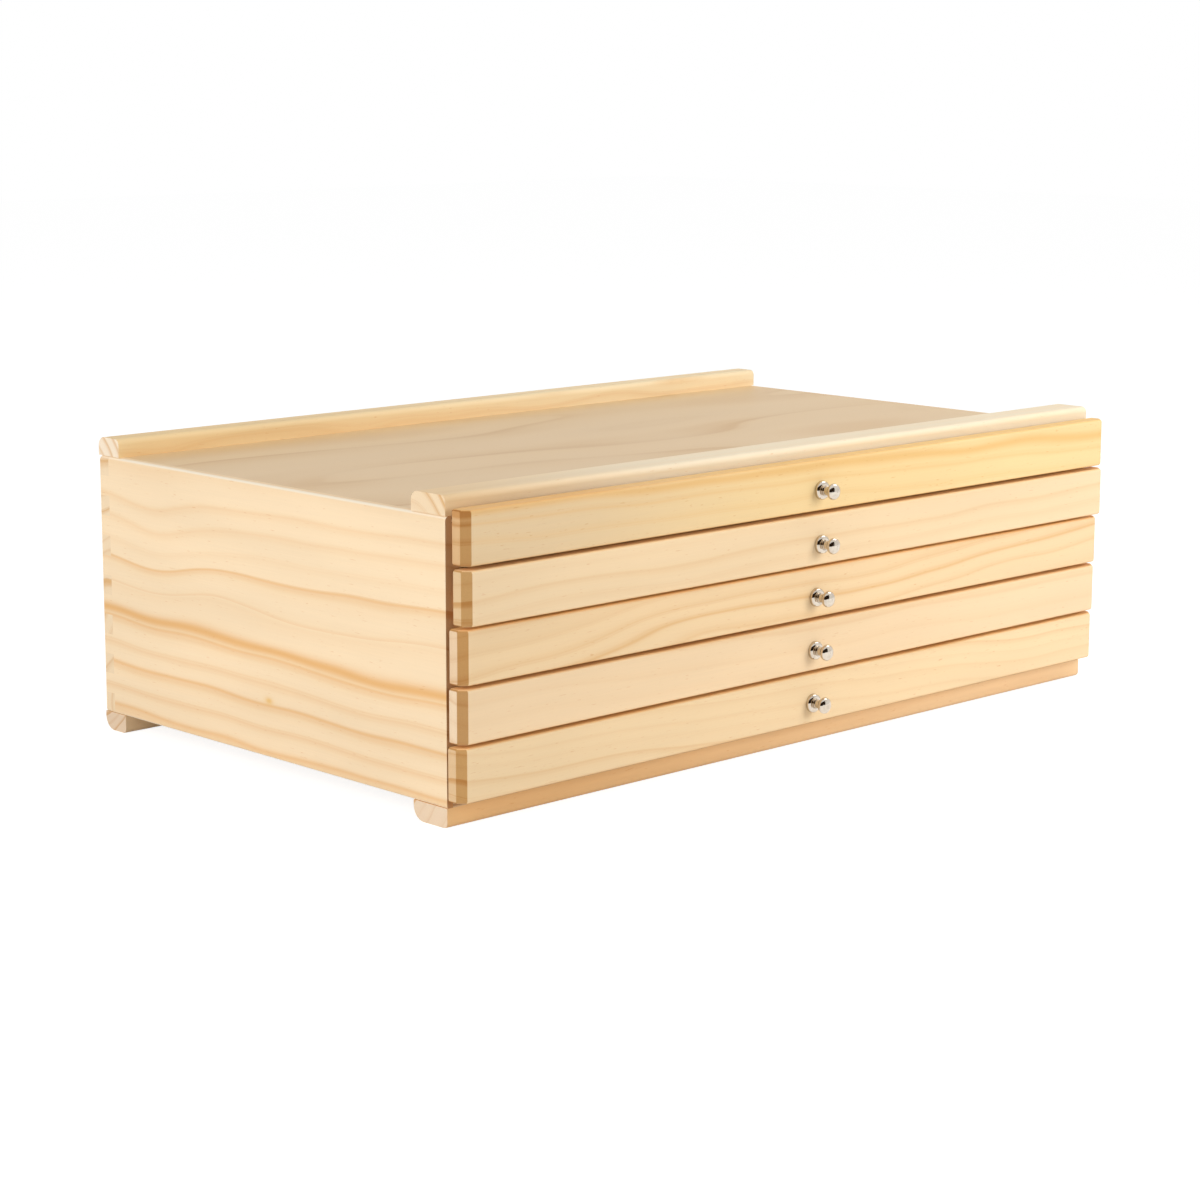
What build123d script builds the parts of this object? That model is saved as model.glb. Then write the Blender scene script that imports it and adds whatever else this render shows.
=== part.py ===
"""Pencil drawer box: a pine case with box-jointed rear corners and five shallow drawers.

X runs across the front, Y from front to back and Z up. The origin is under the middle of
the whole box, at the level of its feet. The drawers are drawn a little way out, each by
its own amount, as they stand when nobody has pushed them home.
"""

from build123d import *

import math
import os

# ---------------------------------------------------------------- driving dimensions (mm)

# The case
box_width = 400.0
case_depth = 230.0
side_height = 114.0
board = 7.0  # thickness of the side and back panels
ply = 3.0  # thickness of the top, bottom and drawer-bottom panels
ply_margin = 3.0  # wood left outside a ply panel, all round its rebate
finger_count = 13  # fingers of one rear corner, counting both panels
outer_round = 2.0  # rounding of the sides' top edges
arris = 1.0  # easing of the other outer edges

# The rails on top and the feet below, four strips glued across the case
rail_height = 8.0
foot_height = 8.0
front_strip_depth = 20.0
back_strip_depth = 15.0
rail_front_round = 2.5
rail_rear_round = 4.0
foot_front_round = 2.0
foot_rear_round = 6.0

# The drawer fronts: boards as wide as the case, that cover its front edges
front_board = 7.5
front_height = 21.7
front_gap = 1.5
lowest_front = 10.8  # height of the lowest front's bottom edge
end_chamfer = 3.2  # the fronts' upright outer corners are cut off at 45 degrees
chamfer_ease = 0.8
front_ease = 1.2
stand_out = (4.0, 4.4, 2.0, 1.6, 0.8)  # gap behind each front, from the top drawer down

# The drawer boxes behind the fronts
box_side_play = 0.5  # gap between a drawer box and each side of the case
box_height = 13.5
box_length = 219.0
box_board = 6.0
box_lift = 1.0  # height of a box's underside above the bottom edge of its front
housing = 2.5  # how far the sides and the bottom are let into the front
lap = 3.0  # width of the rebates for the back and the bottom in the sides
rim_ease = 0.8
divider_board = 5.0
divider_height = 9.5
divider_round = 2.0

# The runners: strips glued to the sides of the case, one pair under each upper drawer
runner_width = 6.0
runner_play = 0.3  # between a drawer box and the runner that carries it
runner_headroom = 0.7  # between a drawer box and the runner above it
runner_set_back = 3.0
runner_lead = 1.0  # chamfer at the front end of a runner

# The knobs, with their axis along Y
knob_drop = 2.0  # the knob's axis is this far below the middle of the front
knob_flange_radius = 4.1
knob_rim = 0.7
knob_dome = 2.0  # height at which the domed flange meets the neck
knob_neck_radius = 1.9
knob_edge_radius = 1.6  # rounding round the widest part of the head
knob_crown_angle = 65.0  # angle, from the widest part, at which the flatter crown begins
knob_reach = 9.0
knob_bore_radius = 1.3
knob_bore_depth = 6.0
screw_radius = 1.25
screw_engagement = 5.0
screw_head_radius = 2.5
screw_head_height = 1.8
screw_head_chamfer = 0.5
screw_slot_width = 0.7
screw_slot_depth = 0.8
counterbore_radius = 2.8
counterbore_depth = 2.2
screw_hole_radius = 1.4

# ---------------------------------------------------------------------- derived dimensions

drawer_count = len(stand_out)
half_width = box_width / 2
front_reach = max(stand_out) + front_board + knob_reach
case_front = (front_reach - case_depth) / 2
case_back = case_front + case_depth
case_mid = (case_front + case_back) / 2
side_bottom = foot_height
side_top = side_bottom + side_height
side_mid = (side_bottom + side_top) / 2
finger = side_height / finger_count
back_finger_heights = [side_bottom + finger * (n + 0.5) for n in range(0, finger_count, 2)]
side_finger_heights = [side_bottom + finger * (n + 0.5) for n in range(1, finger_count, 2)]
joint_mid = case_back - board / 2
front_pitch = front_height + front_gap
box_half_width = half_width - board - box_side_play
runner_height = front_pitch - box_height - runner_play - runner_headroom
runner_length = case_depth - board - 2 * runner_set_back
near = 0.01  # two places closer than this count as the same

os.makedirs("parts", exist_ok=True)


def save(piece: BuildPart, name: str) -> None:
    """Label a finished piece with its name and write it."""
    piece.part.label = name
    export_step(piece.part, f"parts/{name}.step")


# ------------------------------------------------------------------- top and bottom panels


def make_panel(name: str, underside: float) -> BuildPart:
    """A ply panel that lies in rebates of the sides and the back, open to the front."""
    with BuildPart() as panel:
        with BuildSketch(Plane.XY.offset(underside)):
            with Locations((0, (case_front + case_back - ply_margin) / 2)):
                Rectangle(box_width - 2 * ply_margin, case_depth - ply_margin)
        extrude(amount=ply)
    save(panel, name)
    return panel


top_panel = make_panel("top_panel", side_top - ply)
bottom_panel = make_panel("bottom_panel", side_bottom)

# ---------------------------------------------------------------- box-jointed case panels


def edges_in_face(piece: BuildPart, x: float, direction: Axis) -> ShapeList:
    """The straight edges of a piece that lie in the upright plane at x."""
    edges = piece.edges().filter_by(direction)
    return edges.filter_by_position(Axis.X, x - near, x + near)


def ease_outer_edges(piece: BuildPart, x: float) -> None:
    """Ease the rear corner of a panel at x, finger by finger, and its top and bottom edge."""
    fillet(edges_in_face(piece, x, Axis.Z).group_by(Axis.Y)[-1], radius=arris)
    fillet(edges_in_face(piece, x, Axis.Y).group_by(Axis.Z)[-1], radius=outer_round)
    fillet(edges_in_face(piece, x, Axis.Y).group_by(Axis.Z)[0], radius=arris)


def make_side(name: str, outer: float, inner: float) -> None:
    """A side panel from its outer to its inner face, with six fingers at the back."""
    with BuildPart() as side:
        with BuildSketch(Plane.YZ.offset(min(outer, inner))):
            with Locations((case_mid, side_mid)):
                Rectangle(case_depth, side_height)
            with Locations(*[(joint_mid, z) for z in back_finger_heights]):
                Rectangle(board, finger, mode=Mode.SUBTRACT)
        extrude(amount=board)
        add(top_panel.part, mode=Mode.SUBTRACT)
        add(bottom_panel.part, mode=Mode.SUBTRACT)
        ease_outer_edges(side, outer)
    save(side, name)


make_side("left_side", -half_width, -half_width + board)
make_side("right_side", half_width, half_width - board)

with BuildPart() as back_panel:
    with BuildSketch(Plane.XZ.offset(-case_back)):
        with Locations((-half_width / 2, side_mid)):
            Rectangle(half_width, side_height)
        with Locations(*[(-half_width + board / 2, z) for z in side_finger_heights]):
            Rectangle(board, finger, mode=Mode.SUBTRACT)
    extrude(amount=board)
    add(top_panel.part, mode=Mode.SUBTRACT)
    add(bottom_panel.part, mode=Mode.SUBTRACT)
    ease_outer_edges(back_panel, -half_width)
    mirror(about=Plane.YZ)
save(back_panel, "back_panel")

# ------------------------------------------------------------------------- rails and feet


def make_strip(name: str, front: float, depth: float, base: float, tip: float,
               front_round: float, rear_round: float) -> None:
    """A strip across the case, from the glued base to the free face at height tip."""
    with BuildPart() as strip:
        with BuildSketch(Plane.YZ.offset(-half_width)) as section:
            with Locations((front + depth / 2, (base + tip) / 2)):
                Rectangle(depth, abs(tip - base))
            for place, rounding in ((0, front_round), (-1, rear_round)):
                at_tip = section.vertices().filter_by_position(Axis.Y, tip - near, tip + near)
                fillet(at_tip.sort_by(Axis.X)[place], radius=rounding)
        extrude(amount=box_width)
    save(strip, name)


box_top = side_top + rail_height
rear_strip_front = case_back - back_strip_depth
make_strip("front_top_rail", case_front, front_strip_depth, side_top, box_top,
           rail_front_round, rail_rear_round)
make_strip("back_top_rail", rear_strip_front, back_strip_depth, side_top, box_top,
           rail_front_round, rail_rear_round)
make_strip("front_foot_rail", case_front, front_strip_depth, side_bottom, 0.0,
           foot_front_round, foot_rear_round)
make_strip("back_foot_rail", rear_strip_front, back_strip_depth, side_bottom, 0.0,
           foot_front_round, foot_rear_round)

# --------------------------------------------------------------------------------- runners


def make_runner(name: str, inner_face: float, inward: int, top: float) -> None:
    """A runner glued to the inner face of a side, its front end chamfered as a lead-in."""
    with BuildPart() as runner:
        with BuildSketch(Plane.YZ.offset(inner_face)):
            with Locations((case_front + runner_set_back, top)):
                Rectangle(runner_length, runner_height, align=(Align.MIN, Align.MAX))
        extrude(amount=inward * runner_width)
        front_end = runner.faces().sort_by(Axis.Y)[0]
        chamfer(front_end.edges().filter_by(Axis.X), length=runner_lead)
    save(runner, name)


# --------------------------------------------------------------------------------- drawers


def make_drawer_bottom(name: str, underside: float, front_end: float, back_end: float) -> BuildPart:
    """The ply bottom: let into the front, the sides and, from below, the back."""
    with BuildPart() as bottom:
        with BuildSketch(Plane.XY.offset(underside)):
            with Locations((0, front_end)):
                Rectangle(2 * (box_half_width - lap), back_end - front_end,
                          align=(Align.CENTER, Align.MIN))
        extrude(amount=ply)
    save(bottom, name)
    return bottom


def make_drawer_side(name: str, outer: float, inward: int, underside: float,
                     front_end: float, back_end: float, bottom: BuildPart) -> BuildPart:
    """A drawer side with a rebate at its rear end for the back and one for the bottom."""
    with BuildPart() as side:
        with BuildSketch(Plane.XY.offset(underside)):
            across = Align.MIN if inward > 0 else Align.MAX
            with Locations((outer, front_end)):
                Rectangle(box_board, back_end - front_end, align=(across, Align.MIN))
            with Locations((outer + inward * lap, back_end)):
                Rectangle(box_board, box_board, align=(across, Align.MAX), mode=Mode.SUBTRACT)
        extrude(amount=box_height)
        add(bottom.part, mode=Mode.SUBTRACT)
        rim = side.edges().filter_by(Axis.Y).group_by(Axis.Z)[-1]
        fillet(rim, radius=rim_ease)
    save(side, name)
    return side


def make_drawer_back(name: str, underside: float, back_end: float) -> None:
    """The drawer's back, lapped into the sides and standing on the bottom."""
    with BuildPart() as back:
        with BuildSketch(Plane.XY.offset(underside + ply)):
            with Locations((0, back_end)):
                Rectangle(2 * (box_half_width - lap), box_board, align=(Align.CENTER, Align.MAX))
        extrude(amount=box_height - ply)
        rim = back.edges().filter_by(Axis.X).group_by(Axis.Z)[-1]
        fillet(rim, radius=rim_ease)
    save(back, name)


def make_divider(name: str, floor: float, front_end: float, back_end: float) -> None:
    """The divider between the two rows of pencils, with a rounded top."""
    with BuildPart() as divider:
        with BuildSketch(Plane.XZ.offset(-back_end)) as section:
            with Locations((0, floor)):
                Rectangle(divider_board, divider_height, align=(Align.CENTER, Align.MIN))
            fillet(section.vertices().group_by(Axis.Y)[-1], radius=divider_round)
        extrude(amount=back_end - front_end)
    save(divider, name)


def make_front(name: str, bottom_edge: float, back_face: float, knob_height: float,
               let_in: list[BuildPart]) -> None:
    """A drawer front with chamfered ends, housings for the box and a hole for the knob."""
    front_face = back_face - front_board
    with BuildPart() as front:
        with BuildSketch(Plane.XY.offset(bottom_edge)) as outline:
            with Locations((0, back_face)):
                Rectangle(box_width, front_board, align=(Align.CENTER, Align.MAX))
            chamfer(outline.vertices().group_by(Axis.Y)[0], length=end_chamfer)
            chamfered = outline.vertices().sort_by(Axis.Y)[:4]
            fillet(chamfered, radius=chamfer_ease)
        extrude(amount=front_height)
        for level in (-1, 0):
            shown = front.edges().filter_by_position(Axis.Y, front_face - near, back_face - near)
            fillet(shown.group_by(Axis.Z)[level], radius=front_ease)
        for piece in let_in:
            add(piece.part, mode=Mode.SUBTRACT)
        with Locations(Plane((0, back_face, knob_height), z_dir=(0, 1, 0))):
            CounterBoreHole(screw_hole_radius, counterbore_radius, counterbore_depth)
    save(front, name)


def make_knob(name: str, front_face: float, knob_height: float) -> None:
    """A turned knob: domed flange, thin neck and a flattened round head with a blind bore."""
    foot = (0, front_face, knob_height)
    turn = math.radians(knob_crown_angle)
    crown_radius = knob_edge_radius + knob_neck_radius / math.cos(turn)
    crown_centre = knob_reach - crown_radius
    edge_centre = crown_centre + knob_neck_radius * math.tan(turn)
    with BuildPart() as knob:
        with BuildSketch(Plane(foot, x_dir=(0, 0, 1), z_dir=(1, 0, 0))):
            with BuildLine():
                Line((knob_bore_radius, 0), (knob_flange_radius, 0))
                rim = Line((knob_flange_radius, 0), (knob_flange_radius, knob_rim))
                dome = TangentArc(rim @ 1, (knob_neck_radius, knob_dome), tangent=(0, 1))
                edge = CenterArc((knob_neck_radius, edge_centre), knob_edge_radius,
                                 -90, 90 + knob_crown_angle)
                Line(dome @ 1, edge @ 0)
                crown = CenterArc((0, crown_centre), crown_radius,
                                  knob_crown_angle, 90 - knob_crown_angle)
                Line(crown @ 1, (0, knob_bore_depth))
                Line((0, knob_bore_depth), (knob_bore_radius, knob_bore_depth))
                Line((knob_bore_radius, knob_bore_depth), (knob_bore_radius, 0))
            make_face()
        revolve(axis=Axis(foot, (0, -1, 0)))
    save(knob, name)


def make_knob_screw(name: str, back_face: float, knob_height: float) -> None:
    """The machine screw that holds a knob: its head lies in the front's counterbore."""
    seat = back_face - counterbore_depth
    shank = front_board - counterbore_depth + screw_engagement
    with BuildPart() as screw:
        with BuildSketch(Plane((0, seat, knob_height), z_dir=(0, -1, 0))):
            Circle(screw_radius)
        extrude(amount=shank)
        with BuildSketch(Plane((0, seat, knob_height), z_dir=(0, 1, 0))):
            Circle(screw_head_radius)
        extrude(amount=screw_head_height)
        top_rim = screw.edges().filter_by(GeomType.CIRCLE).sort_by(Axis.Y)[-1]
        chamfer(top_rim, length=screw_head_chamfer)
        head_top = seat + screw_head_height
        with BuildSketch(Plane((0, head_top, knob_height), z_dir=(0, -1, 0))):
            Rectangle(2 * screw_head_radius, screw_slot_width)
        extrude(amount=screw_slot_depth, mode=Mode.SUBTRACT)
    save(screw, name)


def make_drawer(number: int, gap: float, bottom_edge: float) -> None:
    """All the pieces of one drawer, standing out of the case by its gap."""
    name = f"drawer_{number}"
    back_face = case_front - gap
    front_face = back_face - front_board
    underside = bottom_edge + box_lift
    back_end = back_face + box_length
    let_in = back_face - housing
    knob_height = bottom_edge + front_height / 2 - knob_drop

    bottom = make_drawer_bottom(f"{name}_bottom", underside, let_in, back_end)
    left = make_drawer_side(f"{name}_left_side", -box_half_width, 1, underside,
                            let_in, back_end, bottom)
    right = make_drawer_side(f"{name}_right_side", box_half_width, -1, underside,
                             let_in, back_end, bottom)
    make_drawer_back(f"{name}_back", underside, back_end)
    make_divider(f"{name}_divider", underside + ply, back_face, back_end - box_board)
    make_front(f"{name}_front", bottom_edge, back_face, knob_height, [bottom, left, right])
    make_knob(f"{name}_knob", front_face, knob_height)
    make_knob_screw(f"{name}_knob_screw", back_face, knob_height)


for drawer_number in range(1, drawer_count + 1):
    places_below = drawer_count - drawer_number
    drawer_bottom_edge = lowest_front + places_below * front_pitch
    make_drawer(drawer_number, stand_out[drawer_number - 1], drawer_bottom_edge)
    if places_below > 0:
        runner_top = drawer_bottom_edge + box_lift - runner_play
        make_runner(f"runner_{drawer_number}_left", -half_width + board, 1, runner_top)
        make_runner(f"runner_{drawer_number}_right", half_width - board, -1, runner_top)
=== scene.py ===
"""The looks of a pencil drawer box: a pale pine case with five shallow drawers.

Every solid of the box comes from the frame. This script gives each board its own piece of
timber, the panels their veneer and the knobs their nickel, and sets up a small white studio
with the camera where the photographer stood.
"""

import logging
import math
import random
from dataclasses import dataclass, field
from enum import Enum

import bpy
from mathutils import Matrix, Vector


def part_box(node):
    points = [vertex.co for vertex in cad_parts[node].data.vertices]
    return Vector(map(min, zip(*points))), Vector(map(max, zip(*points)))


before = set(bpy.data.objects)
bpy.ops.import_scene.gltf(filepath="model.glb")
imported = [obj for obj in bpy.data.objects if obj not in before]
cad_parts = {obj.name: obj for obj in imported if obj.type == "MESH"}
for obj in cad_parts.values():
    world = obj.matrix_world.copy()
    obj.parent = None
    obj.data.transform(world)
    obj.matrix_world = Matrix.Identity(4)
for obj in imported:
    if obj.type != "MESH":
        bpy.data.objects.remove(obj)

MM = 0.001
WHITE = (1.0, 1.0, 1.0, 1.0)
UP = (0.0, 0.0, 1.0)
MIX_NUMBERS = (2, 3)  # where a Mix node takes its two numbers
MIX_COLOURS = (6, 7)  # where it takes its two colours
MIX_COLOUR_RESULT = 2
WOOD_SHEEN = 0.3  # how much bare wood mirrors
WOOD_RELIEF = 0.00004  # how high the grain's relief is, in metres
WOOD_RELIEF_STRENGTH = 0.4
RESIN_DROP = (2.6, 1.5)  # a drop's reach along and across the grain, in millimetres
RESIN_STRENGTH = 0.7
END_GRAIN = (0.3, 0.62)  # how squarely a surface must cross the fibres to show end grain
SQUARE_END = (0.82, 0.94)  # how squarely it must cross them to be no chamfer
GAP_SHADE_EDGE = (0.35, 0.9)  # how far up or down a surface must face to get the painted gap shade
ROUNDING = (0.97, 0.8)  # a direction's largest part on a flat face and on a rounding
PLY_EDGE = (0.7, 0.4)  # how far from facing up a surface must be to show the layers
Colour = tuple[float, float, float]
Socket = bpy.types.NodeSocket
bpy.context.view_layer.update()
log = logging.getLogger("pencil_drawer_box")


def linear(colour: Colour) -> tuple[float, float, float, float]:
    """Turn a colour as seen on a screen, 0 to 255, into a scene colour.

    Args:
        colour: red, green and blue, each from 0 to 255.

    Returns:
        The linear colour with an alpha of 1.
    """
    shares = [channel / 255 for channel in colour]
    scene = [s / 12.92 if s <= 0.04045 else ((s + 0.055) / 1.055) ** 2.4 for s in shares]
    return (*scene, 1.0)


class GrainAxis(Enum):
    """The direction in which a board's fibres run."""

    ACROSS = "X"
    FRONT_TO_BACK = "Y"


class NodeBench:
    """A node tree with short ways to add and join what the finishes need."""

    def __init__(self, tree: bpy.types.NodeTree) -> None:
        """Start work on a tree.

        Args:
            tree: the node tree of a material or of a group.
        """
        self.tree = tree

    def add(self, kind: str, **settings: object) -> bpy.types.Node:
        """Add a node and set its plain properties.

        Args:
            kind: the node's type without its "ShaderNode" beginning.
            settings: properties of the node by name.

        Returns:
            The new node.
        """
        node = self.tree.nodes.new("ShaderNode" + kind)
        for name, value in settings.items():
            setattr(node, name, value)
        return node

    def put(self, socket: Socket, value: object) -> None:
        """Give an input a value, or join it to an output.

        Args:
            socket: the input.
            value: a number, a vector, a colour or an output socket.
        """
        if isinstance(value, bpy.types.NodeSocket):
            self.tree.links.new(value, socket)
        else:
            socket.default_value = value

    def math(self, operation: str, *values: object, clamp: bool = False) -> Socket:
        """Work out a number.

        Args:
            operation: the operation of the Math node.
            values: its operands, numbers or sockets.
            clamp: whether the result is held between 0 and 1.

        Returns:
            The result.
        """
        node = self.add("Math", operation=operation, use_clamp=clamp)
        for socket, value in zip(node.inputs, values):
            self.put(socket, value)
        return node.outputs[0]

    def vector(self, operation: str, *values: object, scale: object = None) -> Socket:
        """Work out a vector.

        Args:
            operation: the operation of the Vector Math node.
            values: its operands, vectors or sockets.
            scale: the factor, for the SCALE operation.

        Returns:
            The result.
        """
        node = self.add("VectorMath", operation=operation)
        for socket, value in zip(node.inputs, values):
            self.put(socket, value)
        if scale is not None:
            self.put(node.inputs["Scale"], scale)
        return node.outputs["Value" if operation == "DOT_PRODUCT" else "Vector"]

    def stretched(self, place: Socket, along: float, across: float, seed: Socket) -> Socket:
        """Scale a place for a pattern that is longer along the grain than across it.

        Args:
            place: a point in millimetres, its first number along the grain.
            along: size of the pattern's features along the grain, in millimetres.
            across: their size across it.
            seed: a vector that moves the pattern.

        Returns:
            The point at which the pattern is read.
        """
        scaled = self.vector("DIVIDE", place, (along, across, across))
        return self.vector("ADD", scaled, seed)

    def noise(self, place: Socket, detail: float = 2.0, roughness: float = 0.5) -> Socket:
        """Read soft noise with features about one unit wide, as a number round 0.5."""
        node = self.add("TexNoise", noise_dimensions="3D")
        self.put(node.inputs["Vector"], place)
        self.put(node.inputs["Scale"], 1.0)
        self.put(node.inputs["Detail"], detail)
        self.put(node.inputs["Roughness"], roughness)
        return node.outputs[0]

    def ease(self, value: Socket, low: float, high: float, start: float = 0.0,
             end: float = 1.0) -> Socket:
        """Turn a stretch of values smoothly into another one.

        Args:
            value: the number to read.
            low: where the change begins.
            high: where it ends.
            start: the result at low and below.
            end: the result at high and above.

        Returns:
            The eased number.
        """
        node = self.add("MapRange", interpolation_type="SMOOTHSTEP")
        for socket, number in zip(node.inputs, (value, low, high, start, end)):
            self.put(socket, number)
        return node.outputs[0]

    def profile(self, value: Socket, stops: tuple[tuple[float, float], ...]) -> Socket:
        """Read a number through a soft curve.

        Args:
            value: a number from 0 to 1.
            stops: places on the curve and their heights.

        Returns:
            The curve's height at that number.
        """
        node = self.add("ValToRGB")
        ramp = node.color_ramp
        ramp.interpolation = "EASE"
        ramp.elements[0].position = stops[0][0]
        ramp.elements[1].position = stops[-1][0]
        for position, _ in stops[1:-1]:
            ramp.elements.new(position)
        for element, (_, height) in zip(ramp.elements, stops):
            element.color = (height, height, height, 1.0)
        self.put(node.inputs[0], value)
        return node.outputs[0]

    def blend(self, factor: object, first: object, second: object, mode: str = "MIX") -> Socket:
        """Mix two colours.

        Args:
            factor: the second one's share.
            first: a colour or socket.
            second: a colour or socket.
            mode: the Mix node's way of mixing.

        Returns:
            The mixed colour.
        """
        node = self.add("Mix", data_type="RGBA", blend_type=mode)
        self.put(node.inputs["Factor"], factor)
        for index, colour in zip(MIX_COLOURS, (first, second)):
            self.put(node.inputs[index], colour)
        return node.outputs[MIX_COLOUR_RESULT]

    def shade(self, colour: Socket, share: Socket, tint: Colour) -> Socket:
        """Multiply a colour by a tint where a pattern is strong.

        Args:
            colour: the colour to change.
            share: how much of the tint there is, from 0 to 1.
            tint: the tint, 0 to 255.

        Returns:
            The changed colour.
        """
        return self.blend(1.0, colour, self.blend(share, WHITE, linear(tint)), "MULTIPLY")

    def tone(self, colour: Socket, pattern: Socket, strength: object) -> Socket:
        """Lighten and darken a colour by a pattern.

        Args:
            colour: the colour to change.
            pattern: a number round 0.5.
            strength: how far the brightness swings over the pattern's whole range.

        Returns:
            The changed colour.
        """
        swing = self.math("MULTIPLY", self.math("SUBTRACT", pattern, 0.5), strength)
        return self.vector("SCALE", colour, scale=self.math("ADD", swing, 1.0))

    def fade(self, square: Socket) -> Socket:
        """Fade from 1 towards 0 as the square of a distance grows."""
        return self.math("EXPONENT", self.math("MULTIPLY", square, -1.0))

    def parts(self, value: Socket) -> bpy.types.NodeOutputs:
        """Take a vector apart into its three numbers."""
        node = self.add("SeparateXYZ")
        self.put(node.inputs[0], value)
        return node.outputs

    def coat(self, shader: bpy.types.Node, colour: Socket, roughness: Socket, height: Socket,
             strength: float, distance: float) -> None:
        """Give a surface shader its colour, its roughness and its relief.

        Args:
            shader: the surface shader.
            colour: the colour.
            roughness: the roughness, from 0 to 1.
            height: the relief.
            strength: how strongly the relief shows, from 0 to 1.
            distance: how high one unit of the relief is, in metres.
        """
        self.put(shader.inputs["Base Color"], colour)
        self.put(shader.inputs["Roughness"], roughness)
        bump = self.add("Bump")
        bump.inputs["Strength"].default_value = strength
        bump.inputs["Distance"].default_value = distance
        self.put(bump.inputs["Height"], height)
        self.put(shader.inputs["Normal"], bump.outputs[0])

    def group(self, group: bpy.types.NodeTree, **values: object) -> bpy.types.Node:
        """Add a node group.

        Args:
            group: the group's tree.
            values: its inputs by name.

        Returns:
            The group's node.
        """
        node = self.add("Group", node_tree=group)
        for name, value in values.items():
            self.put(node.inputs[name], value)
        return node


def new_group(name: str, inputs: dict[str, str], outputs: dict[str, str]) -> tuple[
        NodeBench, bpy.types.NodeInputs, bpy.types.NodeOutputs]:
    """Make an empty node group.

    Args:
        name: the group's name.
        inputs: the kind of each input by its name.
        outputs: the kind of each output by its name.

    Returns:
        The bench for the group, the sockets that bring its inputs, and those for its outputs.
    """
    tree = bpy.data.node_groups.new(name, "ShaderNodeTree")
    for way, sockets in (("INPUT", inputs), ("OUTPUT", outputs)):
        for socket_name, kind in sockets.items():
            tree.interface.new_socket(socket_name, in_out=way, socket_type="NodeSocket" + kind)
    entry = tree.nodes.new("NodeGroupInput")
    leave = tree.nodes.new("NodeGroupOutput")
    return NodeBench(tree), entry.outputs, leave.inputs


def new_material(name: str) -> tuple[bpy.types.Material, NodeBench, bpy.types.Node]:
    """Make a material on which nothing is set yet.

    Args:
        name: the material's name.

    Returns:
        The material, a bench for its nodes, and its surface shader.
    """
    material = bpy.data.materials.new(name)
    material.use_nodes = True
    return material, NodeBench(material.node_tree), material.node_tree.nodes["Principled BSDF"]


@dataclass(frozen=True)
class Pattern:
    """Soft noise in wood, with its features' size along and across the grain in millimetres."""

    along: float
    across: float
    detail: float = 1.0
    roughness: float = 0.5

    def read(self, bench: NodeBench, place: Socket, seed: Socket) -> Socket:
        """Read the pattern at a point, as a number round 0.5.

        Args:
            bench: the bench of the group that wants it.
            place: the point in millimetres, its first number along the grain.
            seed: a vector that moves the pattern.

        Returns:
            The number.
        """
        where = bench.stretched(place, self.along, self.across, seed)
        return bench.noise(where, self.detail, self.roughness)


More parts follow.
